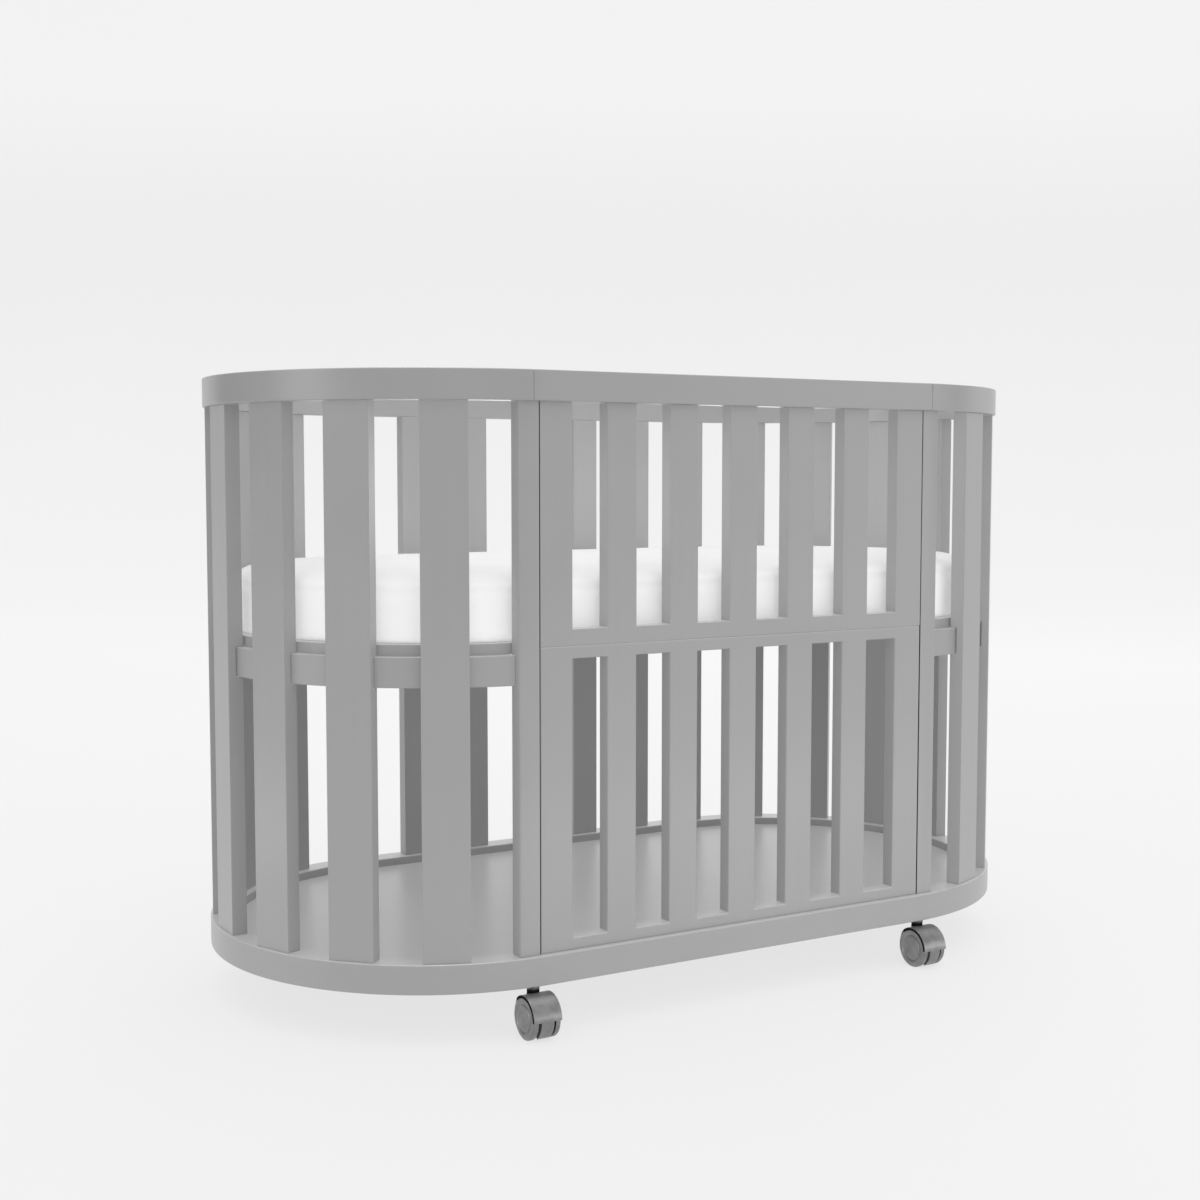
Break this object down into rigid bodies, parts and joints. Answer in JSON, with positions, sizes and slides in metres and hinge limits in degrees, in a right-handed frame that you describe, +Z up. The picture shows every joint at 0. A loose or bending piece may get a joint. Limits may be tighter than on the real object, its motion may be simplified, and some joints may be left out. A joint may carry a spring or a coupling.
{
  "type": "baby crib",
  "caption": "Oval slatted baby crib on casters, with a lift-off upper front panel, a lift-out mattress and an open shelf underneath.",
  "frame": {"origin": "centre of the bounding box, on the floor under the casters", "axes": "+X along the length, front panel at -Y, +Z up"},
  "size_m": [1.296, 0.7232, 0.8745],
  "materials": {
    "grey_paint": "satin grey paint on solid wood",
    "mattress_cover": "white cotton cover",
    "dark_steel": "dark steel",
    "gunmetal": "gunmetal-coloured plastic"
  },
  "bodies": {
    "crib_frame": {"base_ring": "grey_paint", "base_shelf": "grey_paint", "rail_left": "grey_paint", "rail_right": "grey_paint", "rail_back": "grey_paint", "slat_left_1": "grey_paint", "slat_left_2": "grey_paint", "slat_left_3": "grey_paint", "slat_left_4": "grey_paint", "slat_left_5": "grey_paint", "slat_left_6": "grey_paint", "slat_left_7": "grey_paint", "slat_right_1": "grey_paint", "slat_right_2": "grey_paint", "slat_right_3": "grey_paint", "slat_right_4": "grey_paint", "slat_right_5": "grey_paint", "slat_right_6": "grey_paint", "slat_right_7": "grey_paint", "band_left": "grey_paint", "band_right": "grey_paint", "post_front_left": "grey_paint", "post_front_right": "grey_paint", "post_back_left": "grey_paint", "post_back_right": "grey_paint", "back_slat_1": "grey_paint", "back_slat_2": "grey_paint", "back_slat_3": "grey_paint", "back_slat_4": "grey_paint", "back_slat_5": "grey_paint", "front_lower_panel": "grey_paint", "cleat_front": "grey_paint", "cleat_back": "grey_paint", "mattress_base": "grey_paint", "gate_pin_left": "dark_steel", "gate_pin_right": "dark_steel", "caster_front_left_stem": "dark_steel", "caster_back_left_stem": "dark_steel", "caster_front_right_stem": "dark_steel", "caster_back_right_stem": "dark_steel"},
    "gate": {"rail_front": "grey_paint", "gate_panel": "grey_paint"},
    "mattress": {"mattress": "mattress_cover"},
    "caster_front_left": {"caster_front_left_housing": "gunmetal", "caster_front_left_axle": "dark_steel"},
    "caster_front_left_wheel_a": {"caster_front_left_wheel_a": "gunmetal"},
    "caster_front_left_wheel_b": {"caster_front_left_wheel_b": "gunmetal"},
    "caster_back_left": {"caster_back_left_housing": "gunmetal", "caster_back_left_axle": "dark_steel"},
    "caster_back_left_wheel_a": {"caster_back_left_wheel_a": "gunmetal"},
    "caster_back_left_wheel_b": {"caster_back_left_wheel_b": "gunmetal"},
    "caster_front_right": {"caster_front_right_housing": "gunmetal", "caster_front_right_axle": "dark_steel"},
    "caster_front_right_wheel_a": {"caster_front_right_wheel_a": "gunmetal"},
    "caster_front_right_wheel_b": {"caster_front_right_wheel_b": "gunmetal"},
    "caster_back_right": {"caster_back_right_housing": "gunmetal", "caster_back_right_axle": "dark_steel"},
    "caster_back_right_wheel_a": {"caster_back_right_wheel_a": "gunmetal"},
    "caster_back_right_wheel_b": {"caster_back_right_wheel_b": "gunmetal"}
  },
  "joints": [
    {"name": "gate_lift", "type": "slide", "parent": "crib_frame", "child": "gate", "axis": [0, 0, 1], "range_m": [0, 0.37]},
    {"name": "mattress_lift", "type": "slide", "parent": "crib_frame", "child": "mattress", "axis": [0, 0, 1], "range_m": [0, 0.365]},
    {"name": "caster_front_left_swivel", "type": "hinge", "parent": "crib_frame", "child": "caster_front_left", "pos_m": [-0.33, -0.3186, 0.06], "axis": [0, 0, 1], "continuous": true},
    {"name": "caster_front_left_roll_a", "type": "hinge", "parent": "caster_front_left", "child": "caster_front_left_wheel_a", "pos_m": [-0.33, -0.3306, 0.029], "axis": [1, 0, 0], "continuous": true},
    {"name": "caster_front_left_roll_b", "type": "hinge", "parent": "caster_front_left", "child": "caster_front_left_wheel_b", "pos_m": [-0.33, -0.3306, 0.029], "axis": [1, 0, 0], "continuous": true},
    {"name": "caster_back_left_swivel", "type": "hinge", "parent": "crib_frame", "child": "caster_back_left", "pos_m": [-0.33, 0.3186, 0.06], "axis": [0, 0, 1], "continuous": true},
    {"name": "caster_back_left_roll_a", "type": "hinge", "parent": "caster_back_left", "child": "caster_back_left_wheel_a", "pos_m": [-0.33, 0.3306, 0.029], "axis": [1, 0, 0], "continuous": true},
    {"name": "caster_back_left_roll_b", "type": "hinge", "parent": "caster_back_left", "child": "caster_back_left_wheel_b", "pos_m": [-0.33, 0.3306, 0.029], "axis": [1, 0, 0], "continuous": true},
    {"name": "caster_front_right_swivel", "type": "hinge", "parent": "crib_frame", "child": "caster_front_right", "pos_m": [0.33, -0.3186, 0.06], "axis": [0, 0, 1], "continuous": true},
    {"name": "caster_front_right_roll_a", "type": "hinge", "parent": "caster_front_right", "child": "caster_front_right_wheel_a", "pos_m": [0.33, -0.3306, 0.029], "axis": [1, 0, 0], "continuous": true},
    {"name": "caster_front_right_roll_b", "type": "hinge", "parent": "caster_front_right", "child": "caster_front_right_wheel_b", "pos_m": [0.33, -0.3306, 0.029], "axis": [1, 0, 0], "continuous": true},
    {"name": "caster_back_right_swivel", "type": "hinge", "parent": "crib_frame", "child": "caster_back_right", "pos_m": [0.33, 0.3186, 0.06], "axis": [0, 0, 1], "continuous": true},
    {"name": "caster_back_right_roll_a", "type": "hinge", "parent": "caster_back_right", "child": "caster_back_right_wheel_a", "pos_m": [0.33, 0.3306, 0.029], "axis": [1, 0, 0], "continuous": true},
    {"name": "caster_back_right_roll_b", "type": "hinge", "parent": "caster_back_right", "child": "caster_back_right_wheel_b", "pos_m": [0.33, 0.3306, 0.029], "axis": [1, 0, 0], "continuous": true}
  ]
}
